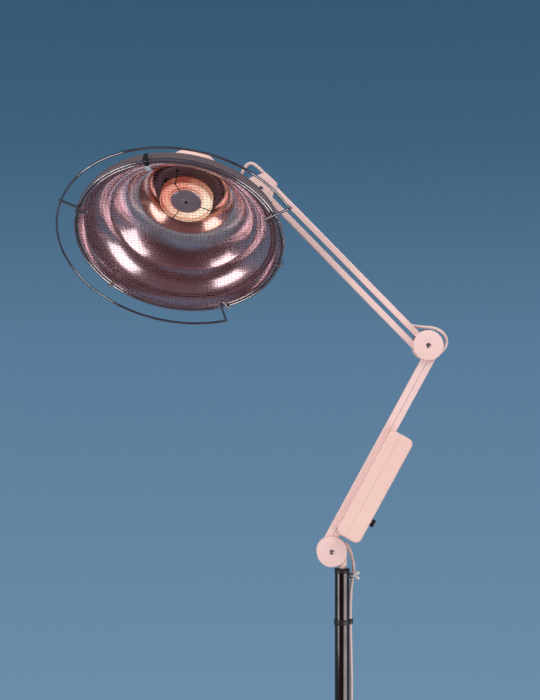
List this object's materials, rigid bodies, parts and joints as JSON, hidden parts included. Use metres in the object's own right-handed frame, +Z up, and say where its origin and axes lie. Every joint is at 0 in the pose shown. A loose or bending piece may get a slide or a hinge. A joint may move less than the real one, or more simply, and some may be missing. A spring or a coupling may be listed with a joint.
{
  "type": "heat therapy lamp",
  "caption": "Infrared heat lamp on a weighted floor stand, with a swivelling two-part parallelogram arm and a tilting wire-guarded dish reflector round a ring heater.",
  "frame": {"origin": "on the floor under the column's axis, in the foot mat's bottom face", "axes": "+Z up the column; -Y is the front, the side the dish faces; +X is the side the elbow leans to"},
  "size_m": [0.668, 0.5816, 1.6429],
  "materials": {
    "rubber": "matt",
    "steel_weight": "rough",
    "black_enamel": "gloss",
    "black_tube": "black nickel gloss",
    "black_plastic": "gloss",
    "brass": "satin",
    "cord": "matt",
    "pale_plastic": "satin",
    "steel": "bright",
    "dark_nylon": "matt",
    "pale_paint": "satin",
    "spun_aluminium": "polished",
    "chrome_wire": "bright",
    "ceramic": "matt"
  },
  "bodies": {
    "stand": {"foot_mat": "rubber", "base_weight": "steel_weight", "base_cover": "black_enamel", "column_socket": "black_enamel", "column_tube": "black_tube", "column_collar": "black_plastic", "clamp_insert": "brass", "cord_clips": "black_plastic", "mains_cord": "cord", "cord_coil": "cord", "mains_plug": "pale_plastic"},
    "wing_screw": {"wing_screw": "steel"},
    "yoke": {"yoke_frame": "pale_paint", "thrust_washer": "dark_nylon", "yoke_pivot_pins": "steel", "yoke_front_cover": "pale_plastic", "yoke_back_cover": "pale_plastic", "yoke_screws": "steel", "cord_gland": "pale_plastic", "cord_swivel_span": "cord"},
    "lower_main_arm": {"lower_main_rail": "pale_paint", "control_box_base": "pale_plastic", "control_box_lid": "pale_plastic", "timer_switch": "dark_nylon", "indicator_lamp": "black_plastic"},
    "timer_knob": {"control_knob": "black_plastic"},
    "lower_link_arm": {"lower_link_rail": "pale_paint", "lower_arm_spring": "steel"},
    "elbow": {"elbow_front_plate": "pale_paint", "elbow_middle_plate": "pale_paint", "elbow_back_plate": "pale_paint", "elbow_front_cover": "pale_plastic", "elbow_back_cover": "pale_plastic", "elbow_screws": "steel", "elbow_pivot_pins": "steel", "elbow_cable": "cord"},
    "upper_main_arm": {"upper_main_rail": "pale_paint"},
    "upper_link_arm": {"upper_link_rail": "pale_paint", "upper_arm_spring": "steel"},
    "head_bracket": {"bracket_front_plate": "pale_paint", "bracket_back_plate": "pale_paint", "bracket_pivot_pins": "steel", "bracket_block": "pale_paint", "bracket_screw": "steel", "head_cable_upper": "cord"},
    "tilt_spindle": {"tilt_spindle": "pale_paint", "knuckle_pin": "steel", "head_cable_lower": "cord"},
    "head": {"back_housing": "pale_paint", "reflector": "spun_aluminium", "rim_ring": "chrome_wire", "mesh_grille": "chrome_wire", "mesh_clips": "steel", "guard_wire": "chrome_wire", "heater_ring": "ceramic", "heater_coil": "steel", "heater_supports": "steel", "heater_terminals": "dark_nylon", "centre_disc": "spun_aluminium"}
  },
  "joints": [
    {"name": "yoke_swivel", "type": "hinge", "parent": "stand", "child": "yoke", "pos_m": [0, 0, 0.95], "axis": [0, 0, 1], "range_deg": [-120, 120], "deforming": ["cord_swivel_span"]},
    {"name": "wing_screw_turn", "type": "hinge", "parent": "stand", "child": "wing_screw", "pos_m": [0.02, 0, 0.9385], "axis": [1, 0, 0], "range_deg": [-90, 90]},
    {"name": "lower_arm_lift", "type": "hinge", "parent": "yoke", "child": "lower_main_arm", "pos_m": [-0.0304, 0, 0.9673], "axis": [0, 1, 0], "range_deg": [0, 35]},
    {"name": "lower_link_turn", "type": "hinge", "parent": "yoke", "child": "lower_link_arm", "pos_m": [-0.0304, 0, 0.9897], "axis": [0, 1, 0], "range_deg": [0, 35]},
    {"name": "timer_knob_turn", "type": "hinge", "parent": "lower_main_arm", "child": "timer_knob", "pos_m": [0.04537, -0.015, 1.02854], "axis": [0.8785, 0, -0.4778], "range_deg": [0, 300]},
    {"name": "elbow_level", "type": "hinge", "parent": "lower_main_arm", "child": "elbow", "pos_m": [0.15431, 0, 1.30692], "axis": [0, 1, 0], "range_deg": [-35, 0]},
    {"name": "upper_arm_lift", "type": "hinge", "parent": "elbow", "child": "upper_main_arm", "pos_m": [0.13101, 0.015, 1.33062], "axis": [0, 1, 0], "range_deg": [-31, 11.5], "deforming": ["elbow_cable"]},
    {"name": "upper_link_turn", "type": "hinge", "parent": "elbow", "child": "upper_link_arm", "pos_m": [0.13101, 0.015, 1.30562], "axis": [0, 1, 0], "range_deg": [-31, 11.5]},
    {"name": "head_level", "type": "hinge", "parent": "upper_main_arm", "child": "head_bracket", "pos_m": [-0.12378, 0.015, 1.59016], "axis": [0, 1, 0], "range_deg": [-11.5, 31]},
    {"name": "head_tilt", "type": "hinge", "parent": "head_bracket", "child": "tilt_spindle", "pos_m": [-0.13398, 0.015, 1.58546], "axis": [1, 0, 0], "range_deg": [-50, 50], "deforming": ["head_cable_upper"]},
    {"name": "head_swing", "type": "hinge", "parent": "tilt_spindle", "child": "head", "pos_m": [-0.19428, 0.015, 1.58546], "axis": [0, 0.7541, -0.6567], "range_deg": [-10, 20], "deforming": ["head_cable_lower"]}
  ],
  "couplings": [
    {"joint": "lower_link_turn", "follows": "lower_arm_lift", "ratio": 1},
    {"joint": "elbow_level", "follows": "lower_arm_lift", "ratio": -1},
    {"joint": "upper_link_turn", "follows": "upper_arm_lift", "ratio": 1},
    {"joint": "head_level", "follows": "upper_arm_lift", "ratio": -1}
  ]
}
